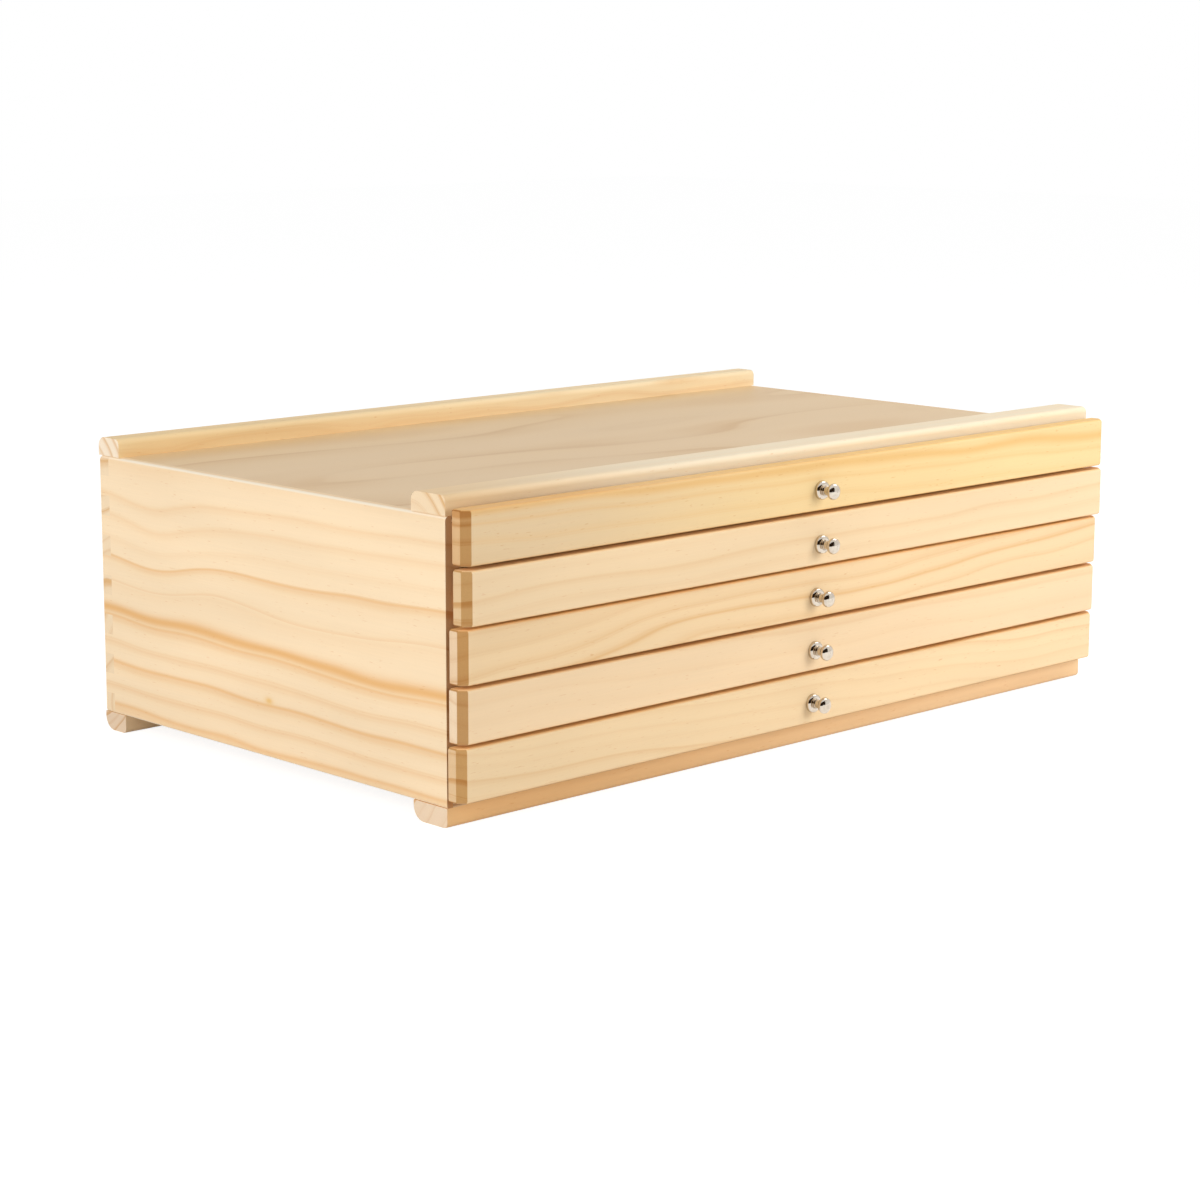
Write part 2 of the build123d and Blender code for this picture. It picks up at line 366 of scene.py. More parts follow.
@dataclass
class Timber:
    """Pine as it grows: yearly rings round a pith, wandering fibres, flecks and end grain.

    Sizes are in millimetres. Tones say how far a pattern swings the brightness, and the fleck
    edges are the noise at which a fleck begins and is full.
    """

    wandering: Pattern = Pattern(105.0, 42.0)
    sideways: tuple[float, float, float] = (7.3, 1.9, 4.1)  # keeps the two swings apart
    ripples: Pattern = Pattern(60.0, 14.0)
    ripple_height: float = 2.4
    uneven_pace: float = 0.37  # how fast the years' widths change, and by how much
    uneven_years: float = 1.8
    weather: tuple[float, float] = (0.18, 0.9)  # late wood in the faintest and boldest year
    season: tuple[tuple[float, float], ...] = (
        (0.0, 0.5), (0.12, 0.06), (0.3, 0.0), (0.55, 0.12), (0.78, 0.6), (0.9, 1.0), (1.0, 0.5))
    bold_width: float = 2.3
    bold_strength: float = 1.2
    fibres: Pattern = Pattern(34.0, 0.55, detail=3.0, roughness=0.6)
    fibre_tone: float = 0.06
    drift: Pattern = Pattern(110.0, 22.0)
    drift_tone: float = 0.14
    flecks: Pattern = Pattern(4.2, 0.5)
    fleck_edges: tuple[float, float] = (0.68, 0.82)
    fleck_tint: Colour = (243, 228, 212)
    ring_tint: Colour = (233, 209, 176)
    ring_full: float = 0.7  # the late wood at which the end grain has its full tint
    pore_scale: float = 1.7
    pore_tone: float = 0.14
    gloss: tuple[float, float] = (0.52, 0.44)  # roughness of early and of late wood
    fibre_grip: float = 0.14
    ridge_height: float = 0.4  # how much late wood, fibres and flecks count in the relief
    fibre_height: float = 0.7
    fleck_depth: float = 0.3

    def __post_init__(self) -> None:
        """Build the node group that every pine board shares."""
        self.bench, self.given, self.result = new_group(
            "pine_timber",
            {"Place": "Vector", "Cut": "Float", "Routed": "Float", "Pith": "Vector",
             "Lean": "Vector", "Bend": "Float", "Ring": "Float", "Bold": "Float",
             "Wander": "Float", "Contrast": "Float", "Seed": "Vector", "Pale": "Color",
             "Late": "Color", "End": "Color", "Chamfer": "Color"},
            {"Colour": "Color", "Roughness": "Float", "Height": "Float"})
        self.group = self.bench.tree
        self._build()

    def _ring_radius(self) -> Socket:
        """Work out how far a point lies from the wandering pith, in millimetres."""
        bench, given = self.bench, self.given
        seeds = (given["Seed"], bench.vector("ADD", given["Seed"], self.sideways))
        bend = bench.add("CombineXYZ")
        for socket, seed in zip(bend.inputs[1:], seeds):
            swing = bench.math("SUBTRACT", self.wandering.read(bench, given["Place"], seed), 0.5)
            bench.put(socket, bench.math("MULTIPLY", swing, given["Wander"]))
        leaning = bench.vector("SCALE", given["Lean"], scale=bench.parts(given["Place"])[0])
        off_pith = bench.vector("SUBTRACT", given["Place"], given["Pith"])
        off_pith = bench.vector("SUBTRACT", off_pith, leaning)
        off_pith = bench.vector("ADD", off_pith, bend.outputs[0])
        squares = [bench.math("MULTIPLY", part, part) for part in bench.parts(off_pith)[1:]]
        radius = bench.math("SQRT", bench.math("ADD", *squares))
        quick = self.ripples.read(bench, given["Place"], given["Seed"])
        ripple = bench.math("MULTIPLY", bench.math("SUBTRACT", quick, 0.5), self.ripple_height)
        return bench.math("ADD", bench.math("ADD", radius, ripple), given["Bend"])

    def _late_wood(self) -> Socket:
        """Work out how much late wood there is at a point, from 0 to 1."""
        bench, given = self.bench, self.given
        radius = self._ring_radius()
        years = bench.math("DIVIDE", radius, given["Ring"])
        uneven = bench.add("TexNoise", noise_dimensions="1D")
        bench.put(uneven.inputs["W"], bench.math("MULTIPLY", years, self.uneven_pace))
        bench.put(uneven.inputs["Scale"], 1.0)
        bench.put(uneven.inputs["Detail"], 1.0)
        shift = bench.math("MULTIPLY", uneven.outputs[0], self.uneven_years)
        years = bench.math("ADD", years, shift)
        weather = bench.add("TexWhiteNoise", noise_dimensions="1D")
        year = bench.math("FLOOR", years)
        bench.put(weather.inputs["W"], bench.math("ADD", year, bench.parts(given["Seed"])[0]))
        strength = bench.ease(weather.outputs["Value"], 0.0, 1.0, *self.weather)
        dark = bench.profile(bench.math("FRACT", years), self.season)
        ordinary = bench.math("MULTIPLY", dark, strength)
        off_bold = bench.math("SUBTRACT", radius, given["Bold"])
        off_bold = bench.math("DIVIDE", off_bold, self.bold_width)
        bold = bench.fade(bench.math("MULTIPLY", off_bold, off_bold))
        return bench.math("MAXIMUM", ordinary, bench.math("MULTIPLY", bold, self.bold_strength))

    def _build(self) -> None:
        """Join rings, fibres, flecks and the darker end grain into colour and relief."""
        bench, given, result = self.bench, self.given, self.result
        where = (bench, given["Place"], given["Seed"])
        late = self._late_wood()
        fibre = self.fibres.read(*where)
        fleck = bench.ease(self.flecks.read(*where), *self.fleck_edges)
        shown = bench.math("MULTIPLY", late, given["Contrast"], clamp=True)
        face = bench.blend(shown, given["Pale"], given["Late"])
        face = bench.tone(face, fibre, self.fibre_tone)
        face = bench.tone(face, self.drift.read(*where), self.drift_tone)
        face = bench.shade(face, fleck, self.fleck_tint)
        sawn = bench.blend(given["Routed"], given["End"], given["Chamfer"])
        end = bench.shade(sawn, bench.ease(late, 0.0, self.ring_full), self.ring_tint)
        pores = bench.vector("SCALE", given["Place"], scale=self.pore_scale)
        end = bench.tone(end, bench.noise(pores, 2.0, 0.7), self.pore_tone)
        bench.put(result["Colour"], bench.blend(given["Cut"], face, end))
        grip = bench.math("MULTIPLY", fibre, self.fibre_grip)
        gloss = bench.ease(late, 0.0, 1.0, *self.gloss)
        bench.put(result["Roughness"], bench.math("ADD", grip, gloss))
        ridges = bench.math("MULTIPLY", late, self.ridge_height)
        ridges = bench.math("ADD", ridges, bench.math("MULTIPLY", fibre, self.fibre_height))
        pits = bench.math("MULTIPLY", fleck, self.fleck_depth)
        bench.put(result["Height"], bench.math("SUBTRACT", ridges, pits))


@dataclass
class Veneer:
    """Peeled veneer: broad loops of figure, short flecks, and layers along a sawn edge."""

    hills: Pattern = Pattern(210.0, 62.0, detail=0.6, roughness=0.4)
    loops: float = 3.6  # how many loops of figure there are from hollow to hilltop
    loop: tuple[tuple[float, float], ...] = (
        (0.0, 0.35), (0.05, 0.1), (0.3, 0.0), (0.8, 0.5), (0.96, 1.0), (1.0, 0.35))
    patches: Pattern = Pattern(120.0, 60.0)
    patch_edges: tuple[float, float] = (0.4, 0.62)
    patch_shares: tuple[float, float] = (0.15, 1.0)  # how much figure is off and on a patch
    patch_tone: float = 0.08
    figure_strength: float = 0.85
    fibres: Pattern = Pattern(30.0, 0.7, detail=3.0, roughness=0.6)
    fibre_tone: float = 0.04
    flecks: Pattern = Pattern(3.2, 0.5)
    fleck_edges: tuple[float, float] = (0.68, 0.8)
    fleck_tint: Colour = (240, 226, 212)
    layers: tuple[Colour, Colour] = ((214, 180, 140), (176, 134, 92))
    layer_height: float = 1.0  # in millimetres
    layer_edges: tuple[float, float] = (0.35, 0.65)
    edge_tone: float = 0.3
    gloss: float = 0.36
    fibre_grip: float = 0.12
    fleck_depth: float = 0.5

    def __post_init__(self) -> None:
        """Build the node group that every ply panel shares."""
        self.bench, self.given, self.result = new_group(
            "peeled_veneer",
            {"Place": "Vector", "Edge": "Float", "Seed": "Vector", "Pale": "Color",
             "Figure": "Color"},
            {"Colour": "Color", "Roughness": "Float", "Height": "Float"})
        self.group = self.bench.tree
        self._build()

    def _build(self) -> None:
        """Join figure, fibres, flecks and edge layers into colour and relief."""
        bench, given, result = self.bench, self.given, self.result
        where = (bench, given["Place"], given["Seed"])
        loops = bench.math("FRACT", bench.math("MULTIPLY", self.hills.read(*where), self.loops))
        patches = self.patches.read(*where)
        figure = bench.profile(loops, self.loop)
        shares = bench.ease(patches, *self.patch_edges, *self.patch_shares)
        figure = bench.math("MULTIPLY", figure, shares)
        figure = bench.math("MULTIPLY", figure, self.figure_strength)
        fibre = self.fibres.read(*where)
        fleck = bench.ease(self.flecks.read(*where), *self.fleck_edges)
        face = bench.blend(figure, given["Pale"], given["Figure"])
        face = bench.tone(face, fibre, self.fibre_tone)
        face = bench.tone(face, patches, self.patch_tone)
        face = bench.shade(face, fleck, self.fleck_tint)
        height = bench.parts(given["Place"])[2]
        layer = bench.math("PINGPONG", height, self.layer_height)
        layer = bench.ease(layer, *self.layer_edges)
        edge = bench.blend(layer, *(linear(colour) for colour in self.layers))
        speckle = bench.noise(bench.vector("SCALE", given["Place"], scale=2.0))
        edge = bench.tone(edge, speckle, self.edge_tone)
        bench.put(result["Colour"], bench.blend(given["Edge"], face, edge))
        grip = bench.math("MULTIPLY", fibre, self.fibre_grip)
        bench.put(result["Roughness"], bench.math("ADD", grip, self.gloss))
        pits = bench.math("MULTIPLY", fleck, self.fleck_depth)
        bench.put(result["Height"], bench.math("SUBTRACT", fibre, pits))


@dataclass(frozen=True)
class Knot:
    """A knot just out of sight, round which the rings bend.

    Places and sizes are in millimetres, along the grain and upwards. The rings sink by the
    first amount over the knot's place and part by the second one above and below it.
    """

    place: tuple[float, float]
    reach: tuple[float, float]
    sink: float = 0.0
    part: float = 0.0

    def bend(self, bench: NodeBench, place: Socket) -> Socket:
        """Work out how far the rings are moved at a point.

        Args:
            bench: the board's material.
            place: the point, in millimetres, its first number along the grain.

        Returns:
            The change in the distance from the pith, in millimetres.
        """
        off = bench.vector("SUBTRACT", place, (self.place[0], 0.0, self.place[1]))
        off = bench.vector("MULTIPLY", off, (1 / self.reach[0], 0.0, 1 / self.reach[1]))
        fade = bench.fade(bench.vector("DOT_PRODUCT", off, off))
        parted = bench.math("MULTIPLY", bench.parts(off)[2], self.part)
        return bench.math("MULTIPLY", fade, bench.math("SUBTRACT", self.sink, parted))


@dataclass(frozen=True)
class PineFinish:
    """One board's piece of timber, smoothed with sandpaper and left bare.

    The pith's place is given from the board's middle, in millimetres: first sideways, then
    upwards. The lean is how far the pith moves that way per millimetre along the board. The
    bold ring passes that far above the board's middle. The darker colour at the board's left
    end, heartwood tone and painted shade, fades into the pale one between two places along the
    board. The gap-shade shares are painted shade on the bottom and the top edge, in the gaps
    between boards, and the highlight share is a painted highlight on the roundings.
    """

    grain: GrainAxis = GrainAxis.ACROSS
    pith: tuple[float, float] = (40.0, -60.0)
    lean: tuple[float, float] = (0.0, 0.0)
    ring: float = 5.0
    wander: float = 14.0
    contrast: float = 0.6
    pale: Colour = (246, 220, 178)
    late: Colour = (222, 172, 108)
    end: Colour = (238, 211, 174)
    chamfer: Colour = (196, 150, 96)
    routed_ends: bool = False
    bold: float | None = None
    knots: tuple[Knot, ...] = ()
    # heartwood tone and painted shade towards the board's left end, and the places where it fades
    # out
    heart_and_shade: Colour | None = None
    heart_and_shade_fade: tuple[float, float] = (-200.0, 150.0)
    # painted shade on the bottom and top edges, in the gaps between boards
    gap_shade: tuple[float, float] = (0.0, 0.0)
    # a painted highlight on the roundings
    sanded: float = 0.0
    resin: tuple[float, float] | None = None
    seed: float = 0.0
    # the tint of the painted shade in the gaps
    gap_shade_tint: Colour = (255, 226, 166)
    # the tint of the painted highlight on the roundings
    sanded_tint: Colour = (255, 245, 226)
    resin_tint: Colour = (236, 186, 92)

    def _face_colours(self, bench: NodeBench, place: Socket) -> tuple[object, object]:
        """Work out the early wood's colour, which may darken towards the left end with heartwood
        tone and painted shade.

        Args:
            bench: the board's material.
            place: a point in millimetres, its first number along the grain.

        Returns:
            The colours of the early and the late wood.
        """
        if self.heart_and_shade is None:
            return linear(self.pale), linear(self.late)
        # heartwood tone and painted shade: darker towards the board's left end
        share = bench.ease(bench.parts(place)[0], *self.heart_and_shade_fade)
        return bench.blend(share, linear(self.heart_and_shade), linear(self.pale)), linear(self.late)

    def _painted_gap_shade_and_highlight(self, bench: NodeBench, colour: Socket, normal: Socket) -> Socket:
        """Paint shade on the edges in the gaps between boards, and a highlight on the roundings.

        Args:
            bench: the board's material.
            colour: the board's colour.
            normal: the direction of its surface.

        Returns:
            The changed colour.
        """
        if any(self.gap_shade):
            # painted shade on the edges that face down or up, in the gaps between boards
            upward = bench.vector("DOT_PRODUCT", normal, UP)
            start, full = GAP_SHADE_EDGE
            below = bench.ease(upward, -start, -full, 0.0, self.gap_shade[0])
            above = bench.ease(upward, start, full, 0.0, self.gap_shade[1])
            colour = bench.shade(colour, bench.math("ADD", below, above), self.gap_shade_tint)
        if self.sanded:
            # painted highlight on the roundings
            sides = bench.parts(bench.vector("ABSOLUTE", normal))
            largest = bench.math("MAXIMUM", sides[0], sides[1])
            largest = bench.math("MAXIMUM", largest, sides[2])
            rounded = bench.ease(largest, *ROUNDING, 0.0, self.sanded)
            colour = bench.blend(rounded, colour, linear(self.sanded_tint))
        return colour

    def _spotted(self, bench: NodeBench, colour: Socket, place: Socket) -> Socket:
        """Put a small drop of resin on the board.

        Args:
            bench: the board's material.
            colour: the board's colour.
            place: a point in millimetres, its first number along the grain.

        Returns:
            The changed colour.
        """
        if self.resin is None:
            return colour
        drop = Knot(self.resin, RESIN_DROP, sink=RESIN_STRENGTH).bend(bench, place)
        return bench.blend(drop, colour, linear(self.resin_tint))

    def material(self, name: str, middle: Vector, timber: Timber) -> bpy.types.Material:
        """Make the board's material.

        Args:
            name: the material's name.
            middle: the board's middle, in metres.
            timber: the shared timber group.

        Returns:
            The material.
        """
        material, bench, shader = new_material(name)
        where = bench.add("TexCoord")
        turned = self.grain is GrainAxis.FRONT_TO_BACK
        place = bench.add("Mapping", vector_type="POINT")
        bench.put(place.inputs["Vector"], where.outputs["Object"])
        place.inputs["Scale"].default_value = (1 / MM, 1 / MM, 1 / MM)
        place.inputs["Rotation"].default_value = (0.0, 0.0, -math.pi / 2 if turned else 0.0)
        centre = middle / MM
        start = Vector((centre.y, -centre.x, centre.z)) if turned else centre
        pith = (0.0, start.y + self.pith[0] - self.lean[0] * start.x,
                start.z + self.pith[1] - self.lean[1] * start.x)
        fibres = (0.0, 1.0, 0.0) if turned else (1.0, 0.0, 0.0)
        facing = bench.vector("DOT_PRODUCT", where.outputs["Normal"], fibres)
        facing = bench.math("ABSOLUTE", facing)
        slanted = bench.math("SUBTRACT", 1.0, bench.ease(facing, *SQUARE_END))
        bend = 0.0
        for knot in self.knots:
            bend = bench.math("ADD", bend, knot.bend(bench, place.outputs[0]))
        bold = 0.0 if self.bold is None else math.hypot(self.pith[0], self.bold - self.pith[1])
        pale, late = self._face_colours(bench, place.outputs[0])
        drawn = bench.group(
            timber.group, Place=place.outputs[0], Cut=bench.ease(facing, *END_GRAIN),
            Routed=slanted if self.routed_ends else 0.0, Pith=pith,
            Lean=(0.0, self.lean[0], self.lean[1]), Bend=bend, Ring=self.ring, Bold=bold,
            Wander=self.wander, Contrast=self.contrast,
            Seed=(self.seed, self.seed * 0.7, self.seed * 0.3), Pale=pale, Late=late,
            End=linear(self.end), Chamfer=linear(self.chamfer))
        colour = self._spotted(bench, drawn.outputs["Colour"], place.outputs[0])
        # painted shade in the gaps and a painted highlight on the roundings
        colour = self._painted_gap_shade_and_highlight(bench, colour, where.outputs["Normal"])
        shader.inputs["Specular IOR Level"].default_value = WOOD_SHEEN
        bench.coat(shader, colour, drawn.outputs["Roughness"], drawn.outputs["Height"],
                   WOOD_RELIEF_STRENGTH, WOOD_RELIEF)
        return material


@dataclass(frozen=True)
class PlyFinish:
    """A ply panel smoothed with sandpaper, its face veneer running across the box."""

    pale: Colour = (233, 201, 155)
    figure: Colour = (214, 172, 114)
    seed: float = 3.0

    def material(self, name: str, veneer: Veneer) -> bpy.types.Material:
        """Make the panel's material.

        Args:
            name: the material's name.
            veneer: the shared veneer group.

        Returns:
            The material.
        """
        material, bench, shader = new_material(name)
        where = bench.add("TexCoord")
        place = bench.vector("SCALE", where.outputs["Object"], scale=1 / MM)
        upward = bench.math("ABSOLUTE", bench.vector("DOT_PRODUCT", where.outputs["Normal"], UP))
        drawn = bench.group(veneer.group, Place=place, Edge=bench.ease(upward, *PLY_EDGE),
                            Seed=(self.seed, self.seed * 0.6, self.seed * 0.4),
                            Pale=linear(self.pale), Figure=linear(self.figure))
        shader.inputs["Specular IOR Level"].default_value = WOOD_SHEEN
        bench.coat(shader, drawn.outputs["Colour"], drawn.outputs["Roughness"],
                   drawn.outputs["Height"], WOOD_RELIEF_STRENGTH, WOOD_RELIEF)
        return material


@dataclass(frozen=True)
class MetalFinish:
    """Plated metal with faint handling marks."""

    colour: Colour = (214, 204, 190)
    dull: Colour = (200, 188, 172)
    smooth: float = 0.1
    worn: float = 0.15
    mark_size: float = 2.2
    mark_edges: tuple[float, float] = (0.35, 0.75)  # the noise at which a mark begins and is full
    mark_strength: float = 0.1
    mark_depth: float = 0.01 * MM

    def material(self, name: str) -> bpy.types.Material:
        """Make the metal.

        Args:
            name: the material's name.

        Returns:
            The material.
        """
        material, bench, shader = new_material(name)
        where = bench.add("TexCoord")
        place = bench.vector("SCALE", where.outputs["Object"], scale=1 / MM / self.mark_size)
        marks = bench.ease(bench.noise(place, 4.0, 0.6), *self.mark_edges)
        colour = bench.blend(marks, linear(self.colour), linear(self.dull))
        roughness = bench.ease(marks, 0.0, 1.0, self.smooth, self.worn)
        shader.inputs["Metallic"].default_value = 1.0
        bench.coat(shader, colour, roughness, marks, self.mark_strength, self.mark_depth)
        return material


@dataclass
class Workshop:
    """What dresses the pieces: the timber and the veneer to cut from."""

    timber: Timber = field(default_factory=Timber)
    veneer: Veneer = field(default_factory=Veneer)
    sawn_arris: float = 0.35 * MM
    arris_angle: float = math.radians(50)

    def ease_arrises(self, node: str) -> None:
        """Break a board's sharp edges, where its mesh is joined across them.

        The frame's meshes are split along most sharp edges, and those stay sharp.

        Args:
            node: the board.
        """
        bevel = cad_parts[node].modifiers.new("eased arrises", "BEVEL")
        bevel.width = self.sawn_arris
        bevel.segments = 2
        bevel.limit_method = "ANGLE"
        bevel.angle_limit = self.arris_angle

    def paint(self, node: str, material: bpy.types.Material) -> None:
        """Put one material on the whole of a piece."""
        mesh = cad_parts[node].data
        mesh.materials.clear()
        mesh.materials.append(material)

    def board(self, node: str, finish: PineFinish) -> None:
        """Give a board its own piece of timber.

        Args:
            node: the board.
            finish: how its piece of timber looks.
        """
        low, high = (Vector(corner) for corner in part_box(node))
        self.paint(node, finish.material(f"pine {node}", (low + high) / 2, self.timber))
        self.ease_arrises(node)
        log.info("board %s", node)

    def panel(self, node: str, finish: PlyFinish) -> None:
        """Give a ply panel its veneer.

        Args:
            node: the panel.
            finish: how its veneer looks.
        """
        self.paint(node, finish.material(f"ply {node}", self.veneer))
        log.info("panel %s", node)

    def offcut(self, node: str, grain: GrainAxis) -> None:
        """Give a board that is mostly out of sight an ordinary piece of timber.

        Args:
            node: the board.
            grain: which way its fibres run.
        """
        draw = random.Random(node)
        finish = PineFinish(
            grain=grain, pith=(draw.uniform(-50, 50), draw.choice((-1, 1)) * draw.uniform(25, 70)),
            lean=(draw.uniform(-0.02, 0.02), draw.uniform(-0.02, 0.02)),
            ring=draw.uniform(3.5, 6.5), contrast=draw.uniform(0.4, 0.7),
            seed=draw.uniform(0, 50))
        self.board(node, finish)


@dataclass
class Case:
    """The case: box-jointed sides and back, ply top and bottom, rails, feet and runners."""

    # the sides and the back have a painted highlight on their roundings
    left_side: PineFinish = PineFinish(
        grain=GrainAxis.FRONT_TO_BACK, pith=(40.0, -150.0), ring=11.0, wander=9.0,
        contrast=0.75, pale=(252, 227, 191), late=(234, 180, 112), end=(206, 162, 118),
        bold=-11.0, knots=(Knot((85.0, 88.0), (27.0, 26.0), sink=6.5),
                           Knot((-105.0, 65.0), (150.0, 28.0), part=10.0)),
        resin=(7.0, 32.0), sanded=0.8, seed=4.0)
    right_side: PineFinish = PineFinish(
        grain=GrainAxis.FRONT_TO_BACK, pith=(-30.0, 130.0), lean=(0.0, 0.02), ring=10.0,
        wander=14.0, contrast=0.6, pale=(249, 226, 194), late=(231, 183, 124),
        end=(206, 162, 118), knots=(Knot((-20.0, 40.0), (40.0, 24.0), sink=-5.0),),
        sanded=0.8, seed=11.0)
    back_panel: PineFinish = PineFinish(
        pith=(-36.0, -60.0), lean=(0.0, 0.03), ring=9.0, wander=22.0, contrast=0.6,
        pale=(250, 226, 190), late=(231, 183, 122), end=(246, 221, 186), sanded=0.6, seed=17.0)
    # the rails darken towards their left ends: heartwood tone and painted shade
    front_top_rail: PineFinish = PineFinish(
        pith=(16.0, -28.0), ring=5.4, contrast=0.45, pale=(255, 238, 208),
        late=(255, 226, 182), heart_and_shade=(241, 206, 156), heart_and_shade_fade=(-240.0, -60.0),
        end=(244, 219, 184), seed=23.0)
    back_top_rail: PineFinish = PineFinish(
        pith=(24.0, -20.0), ring=5.0, contrast=0.55, pale=(255, 233, 192),
        late=(232, 182, 116), heart_and_shade=(250, 220, 168), end=(250, 232, 208), seed=29.0)
    front_foot_rail: PineFinish = PineFinish(
        pith=(30.0, 26.0), ring=5.0, contrast=0.45, pale=(250, 214, 168),
        late=(226, 174, 116), heart_and_shade=(240, 195, 138), end=(240, 216, 188), seed=31.0)
    back_foot_rail: PineFinish = PineFinish(
        pith=(20.0, 30.0), ring=4.8, contrast=0.5, pale=(244, 214, 172),
        late=(222, 174, 116), end=(232, 207, 179), seed=37.0)
    top_panel: PlyFinish = PlyFinish(seed=5.0)
    bottom_panel: PlyFinish = PlyFinish(pale=(226, 196, 160), seed=9.0)

    def dress(self, workshop: Workshop) -> None:
        """Finish every piece of the case.

        Args:
            workshop: what the pieces are finished with.
        """
        for node in ("left_side", "right_side", "back_panel", "front_top_rail",
                     "back_top_rail", "front_foot_rail", "back_foot_rail"):
            workshop.board(node, getattr(self, node))
        for node in ("top_panel", "bottom_panel"):
            workshop.panel(node, getattr(self, node))
        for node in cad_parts:
            if node.startswith("runner_"):
                workshop.offcut(node, GrainAxis.FRONT_TO_BACK)


@dataclass
class Drawer:
    """One drawer: its front, the box behind it, and the knob with its screw."""

    number: int
    front: PineFinish
    ply: PlyFinish = PlyFinish(pale=(236, 208, 172), seed=13.0)
    nickel: MetalFinish = MetalFinish()
    zinc: MetalFinish = MetalFinish(colour=(178, 178, 176), dull=(150, 150, 148),
                                    smooth=0.3, worn=0.45)

    def node(self, piece: str) -> str:
        """The name of one of this drawer's pieces."""
        return f"drawer_{self.number}_{piece}"

    def dress(self, workshop: Workshop) -> None:
        """Finish every piece of the drawer.

        Args:
            workshop: what the pieces are finished with.
        """
        workshop.board(self.node("front"), self.front)
        for piece in ("left_side", "right_side", "divider"):
            workshop.offcut(self.node(piece), GrainAxis.FRONT_TO_BACK)
        workshop.offcut(self.node("back"), GrainAxis.ACROSS)
        workshop.panel(self.node("bottom"), self.ply)
        workshop.paint(self.node("knob"), self.nickel.material(f"nickel knob {self.number}"))
        workshop.paint(self.node("knob_screw"), self.zinc.material(f"zinc screw {self.number}"))
        log.info("drawer %d", self.number)


# every front has painted shade on its top and bottom edges, in the gaps between fronts
DRAWER_FRONTS = (
    # this front darkens towards its left end: heartwood tone and painted shade
    PineFinish(pith=(6.0, 58.0), lean=(0.0, -0.02), ring=8.0, contrast=0.5, bold=7.5,
               pale=(252, 221, 164), late=(238, 184, 102), heart_and_shade=(240, 212, 170),
               heart_and_shade_fade=(-180.0, 20.0), end=(220, 180, 132), chamfer=(194, 148, 92),
               routed_ends=True, gap_shade=(0.5, 0.5), wander=9.0, seed=41.0),
    PineFinish(pith=(-5.0, -52.0), lean=(0.0, 0.01), ring=7.6, contrast=0.42,
               pale=(251, 223, 182), late=(236, 190, 130), end=(226, 194, 150),
               chamfer=(200, 156, 100), routed_ends=True, gap_shade=(0.5, 0.4), wander=9.0,
               seed=43.0),
    PineFinish(pith=(8.0, 44.0), lean=(0.0, 0.05), ring=7.0, contrast=0.8,
               pale=(251, 221, 177), late=(232, 182, 116), end=(236, 206, 170),
               chamfer=(198, 150, 92), knots=(Knot((-60.0, 66.0), (70.0, 10.0), sink=5.0),),
               routed_ends=True, gap_shade=(0.5, 0.5), wander=14.0, seed=47.0),
    PineFinish(pith=(-7.0, 50.0), lean=(0.0, -0.02), ring=8.2, contrast=0.4,
               pale=(252, 223, 183), late=(236, 190, 132), end=(242, 216, 184),
               chamfer=(196, 150, 96), routed_ends=True, gap_shade=(0.5, 0.5), wander=10.0,
               seed=53.0),
    PineFinish(pith=(5.0, -46.0), lean=(0.0, -0.05), ring=5.6, contrast=0.5,
               pale=(252, 224, 181), late=(234, 186, 124), end=(228, 194, 150),
               chamfer=(202, 156, 98), routed_ends=True, gap_shade=(0.5, 0.5), wander=10.0,
               seed=59.0),
)


def outward(azimuth: float, elevation: float) -> Vector:
    """Point away from the box.

    Args:
        azimuth: 0 in front of the box and negative to its left, in degrees.
        elevation: the angle above the table, in degrees.

    Returns:
        The direction, one unit long.
    """
    turn, rise = math.radians(azimuth), math.radians(elevation)
    level = math.cos(rise)
    return Vector((math.sin(turn) * level, -math.cos(turn) * level, math.sin(rise)))


def new_sheet(name: str, width: float, depth: float) -> bpy.types.Object:
    """Make a flat sheet round its own middle, facing up.

    Args:
        name: the name of the sheet and of its mesh.
        width: its size along X, in metres.
        depth: its size along Y.

    Returns:
        The sheet, already in the scene.
    """
    x, y = width / 2, depth / 2
    mesh = bpy.data.meshes.new(name)
    mesh.from_pydata([(-x, -y, 0.0), (x, -y, 0.0), (x, y, 0.0), (-x, y, 0.0)], [], [(0, 1, 2, 3)])
    sheet = bpy.data.objects.new(name, mesh)
    bpy.context.scene.collection.objects.link(sheet)
    return sheet


def cover(sheet: bpy.types.Object, name: str) -> tuple[NodeBench, Socket]:
    """Give a sheet a material that has no surface shader yet.

    Args:
        sheet: the sheet.
        name: the material's name.

    Returns:
        A bench for the material's nodes, and the input that takes its shader.
    """
    material, bench, shader = new_material(name)
    material.node_tree.nodes.remove(shader)
    sheet.data.materials.append(material)
    return bench, material.node_tree.nodes["Material Output"].inputs[0]


@dataclass
class Softbox:
    """A square lamp that shines at a point.

    Its place is given round the target: an azimuth that is 0 in front of the box and
    negative to its left, an elevation, and a distance in metres.
    """

    name: str
    azimuth: float
    elevation: float
    distance: float
    size: float
    power: float
    target: tuple[float, float, float] = (0.0, 0.0, 0.06)
    colour: tuple[float, float, float] = (1.0, 0.985, 0.96)
    mirrored: bool = True

    def build(self) -> None:
        """Hang the lamp."""
        away = outward(self.azimuth, self.elevation)
        lamp = bpy.data.lights.new(self.name, "AREA")
        lamp.size = self.size
        lamp.energy = self.power
        lamp.color = self.colour
        holder = bpy.data.objects.new(self.name, lamp)
        holder.location = Vector(self.target) + away * self.distance
        holder.rotation_euler = away.to_track_quat("Z", "Y").to_euler()
        holder.visible_glossy = self.mirrored
        bpy.context.scene.collection.objects.link(holder)


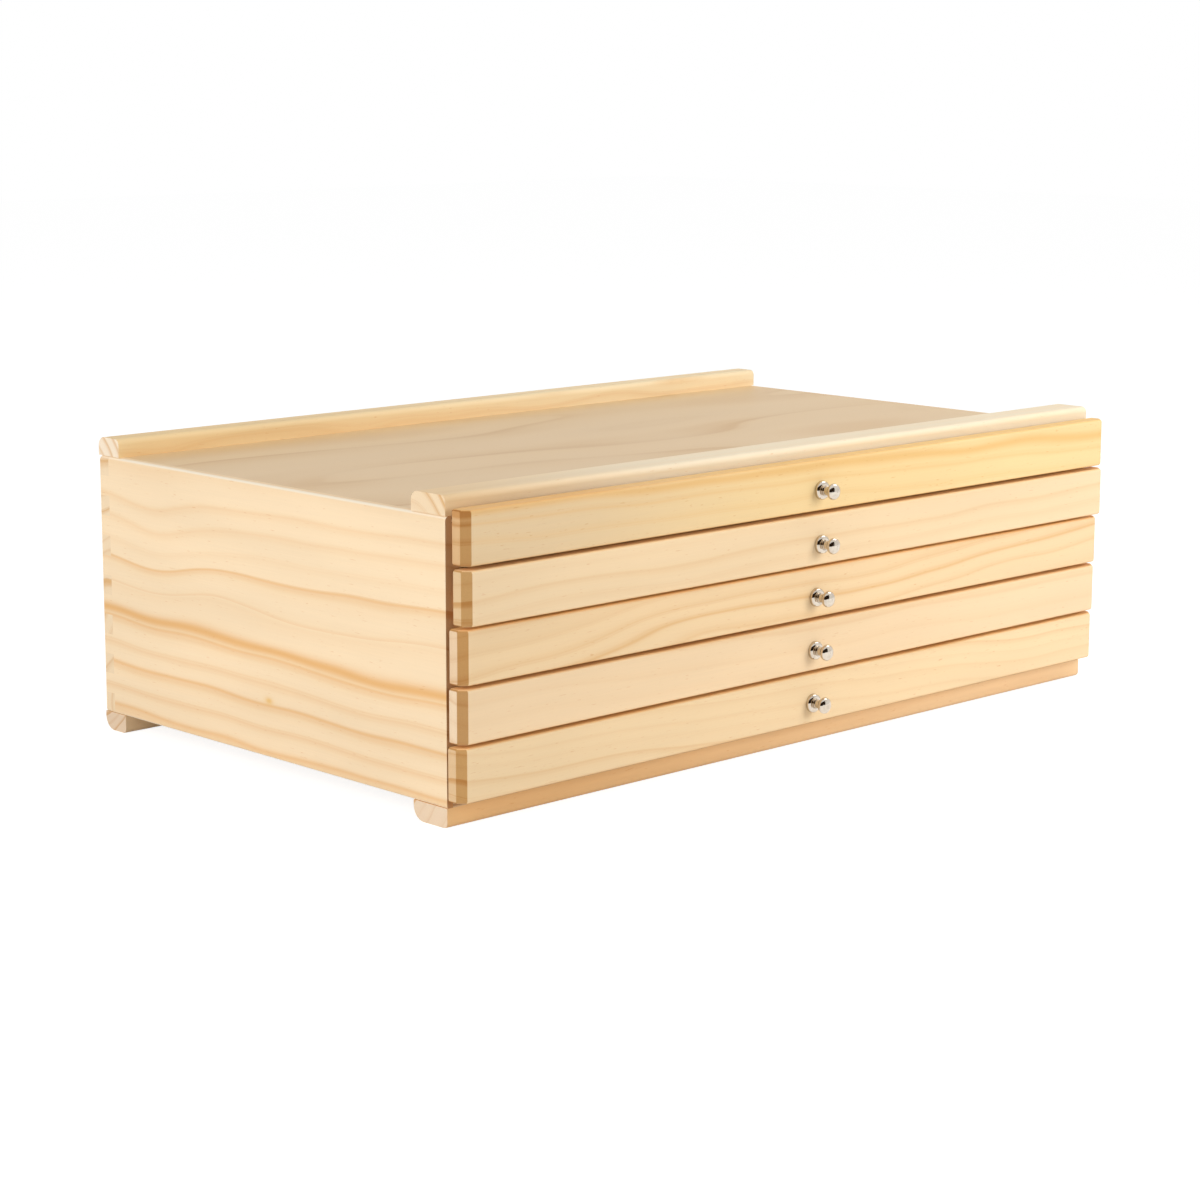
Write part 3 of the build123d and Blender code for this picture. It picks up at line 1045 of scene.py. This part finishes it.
@dataclass
class Flag:
    """A black card that only the shiny metal shows, as in a photographer's studio."""

    name: str
    azimuth: float
    elevation: float
    distance: float
    width: float
    height: float
    target: tuple[float, float, float] = (0.0, -0.12, 0.07)
    black: Colour = (46, 34, 24)

    def build(self) -> None:
        """Hang the card."""
        away = outward(self.azimuth, self.elevation)
        card = new_sheet(self.name, self.width, self.height)
        card.location = Vector(self.target) + away * self.distance
        card.rotation_euler = away.to_track_quat("Z", "Y").to_euler()
        bench, surface = cover(card, self.name)
        dark = bench.add("Emission")
        dark.inputs["Color"].default_value = linear(self.black)
        bench.put(surface, dark.outputs[0])
        card.visible_camera = False
        card.visible_diffuse = False
        card.visible_shadow = False
        card.visible_transmission = False


@dataclass
class Studio:
    """A white table and background, soft lamps, and plain light from all round."""

    table_size: float = 8.0
    table_white: float = 0.8
    table_glow: float = 0.85
    table_shadow: float = 0.4
    ambient: float = 0.36
    lamps: tuple[Softbox, ...] = (
        Softbox("left lamp", azimuth=-86, elevation=20, distance=1.4, size=0.9, power=9.2,
                mirrored=False),
        Softbox("front lamp", azimuth=8, elevation=18, distance=0.72, size=0.4, power=2.75,
                target=(0.19, -0.11, 0.07), mirrored=False),
        Softbox("top lamp", azimuth=60, elevation=60, distance=0.9, size=0.6, power=3.4,
                target=(0.3, 0.0, 0.1)),
    )
    flags: tuple[Flag, ...] = (
        Flag("dark room", azimuth=-35, elevation=16, distance=1.2, width=3.6, height=1.5),
    )

    def build(self) -> None:
        """Set up the table, the background, the lamps and the flags."""
        self._build_table()
        self._build_background()
        for fitting in self.lamps + self.flags:
            fitting.build()
        bpy.context.scene.view_settings.view_transform = "Standard"
        log.info("studio")

    def _seen(self, bench: NodeBench) -> Socket:
        """Work out whether the eye sees a surface, straight or in metal or glass."""
        rays = bench.add("LightPath").outputs
        either = bench.math("MAXIMUM", rays["Is Camera Ray"], rays["Is Glossy Ray"])
        return bench.math("MAXIMUM", either, rays["Is Transmission Ray"])

    def _build_table(self) -> None:
        """Lay a white sheet that stays white to the eye but still shows the shadow."""
        table = new_sheet("table", self.table_size, self.table_size)
        bench, surface = cover(table, "white table")
        plain = bench.add("BsdfDiffuse")
        plain.inputs["Color"].default_value = (self.table_white,) * 3 + (1.0,)
        shaded = bench.add("BsdfDiffuse")
        shaded.inputs["Color"].default_value = (self.table_shadow,) * 3 + (1.0,)
        glow = bench.add("Emission")
        glow.inputs["Strength"].default_value = self.table_glow
        shown = bench.add("AddShader")
        bench.put(shown.inputs[0], shaded.outputs[0])
        bench.put(shown.inputs[1], glow.outputs[0])
        choice = bench.add("MixShader")
        picks = (self._seen(bench), plain.outputs[0], shown.outputs[0])
        for socket, pick in zip(choice.inputs, picks):
            bench.put(socket, pick)
        bench.put(surface, choice.outputs[0])

    def _build_background(self) -> None:
        """Make the world white to the eye and a dimmer, even light for the box."""
        world = bpy.data.worlds.new("studio")
        world.use_nodes = True
        bpy.context.scene.world = world
        bench = NodeBench(world.node_tree)
        background = world.node_tree.nodes["Background"]
        background.inputs["Color"].default_value = WHITE
        strength = bench.add("Mix", data_type="FLOAT")
        bench.put(strength.inputs["Factor"], self._seen(bench))
        for index, value in zip(MIX_NUMBERS, (self.ambient, 1.0)):
            bench.put(strength.inputs[index], value)
        bench.put(background.inputs["Strength"], strength.outputs[0])


@dataclass
class PhotoCamera:
    """The photographer's camera, from the left and a little above, fitted to the box's edges."""

    place: tuple[float, float, float] = (-0.89665, -0.91325, 0.29549)
    turn: tuple[float, float, float] = (1.39707, -0.00179, -0.76435)
    lens: float = 85.76
    sensor: float = 36.0
    shift: tuple[float, float] = (0.0031, -0.0399)
    clip: tuple[float, float] = (0.01, 30.0)

    def build(self) -> None:
        """Set up the camera and make it the scene's own."""
        data = bpy.data.cameras.new("photo camera")
        data.lens = self.lens
        data.sensor_width = self.sensor
        data.sensor_fit = "HORIZONTAL"
        data.shift_x, data.shift_y = self.shift
        data.clip_start, data.clip_end = self.clip
        camera = bpy.data.objects.new("photo camera", data)
        camera.location = self.place
        camera.rotation_euler = self.turn
        bpy.context.scene.collection.objects.link(camera)
        bpy.context.scene.camera = camera
        log.info("camera")


def main() -> None:
    """Dress the case and the drawers, and set up the studio and the camera."""
    logging.basicConfig(level=logging.INFO, format="%(name)s: %(message)s")
    workshop = Workshop()
    Case().dress(workshop)
    for number, front in enumerate(DRAWER_FRONTS, start=1):
        Drawer(number, front).dress(workshop)
    Studio().build()
    PhotoCamera().build()


if __name__ == "__main__":
    main()
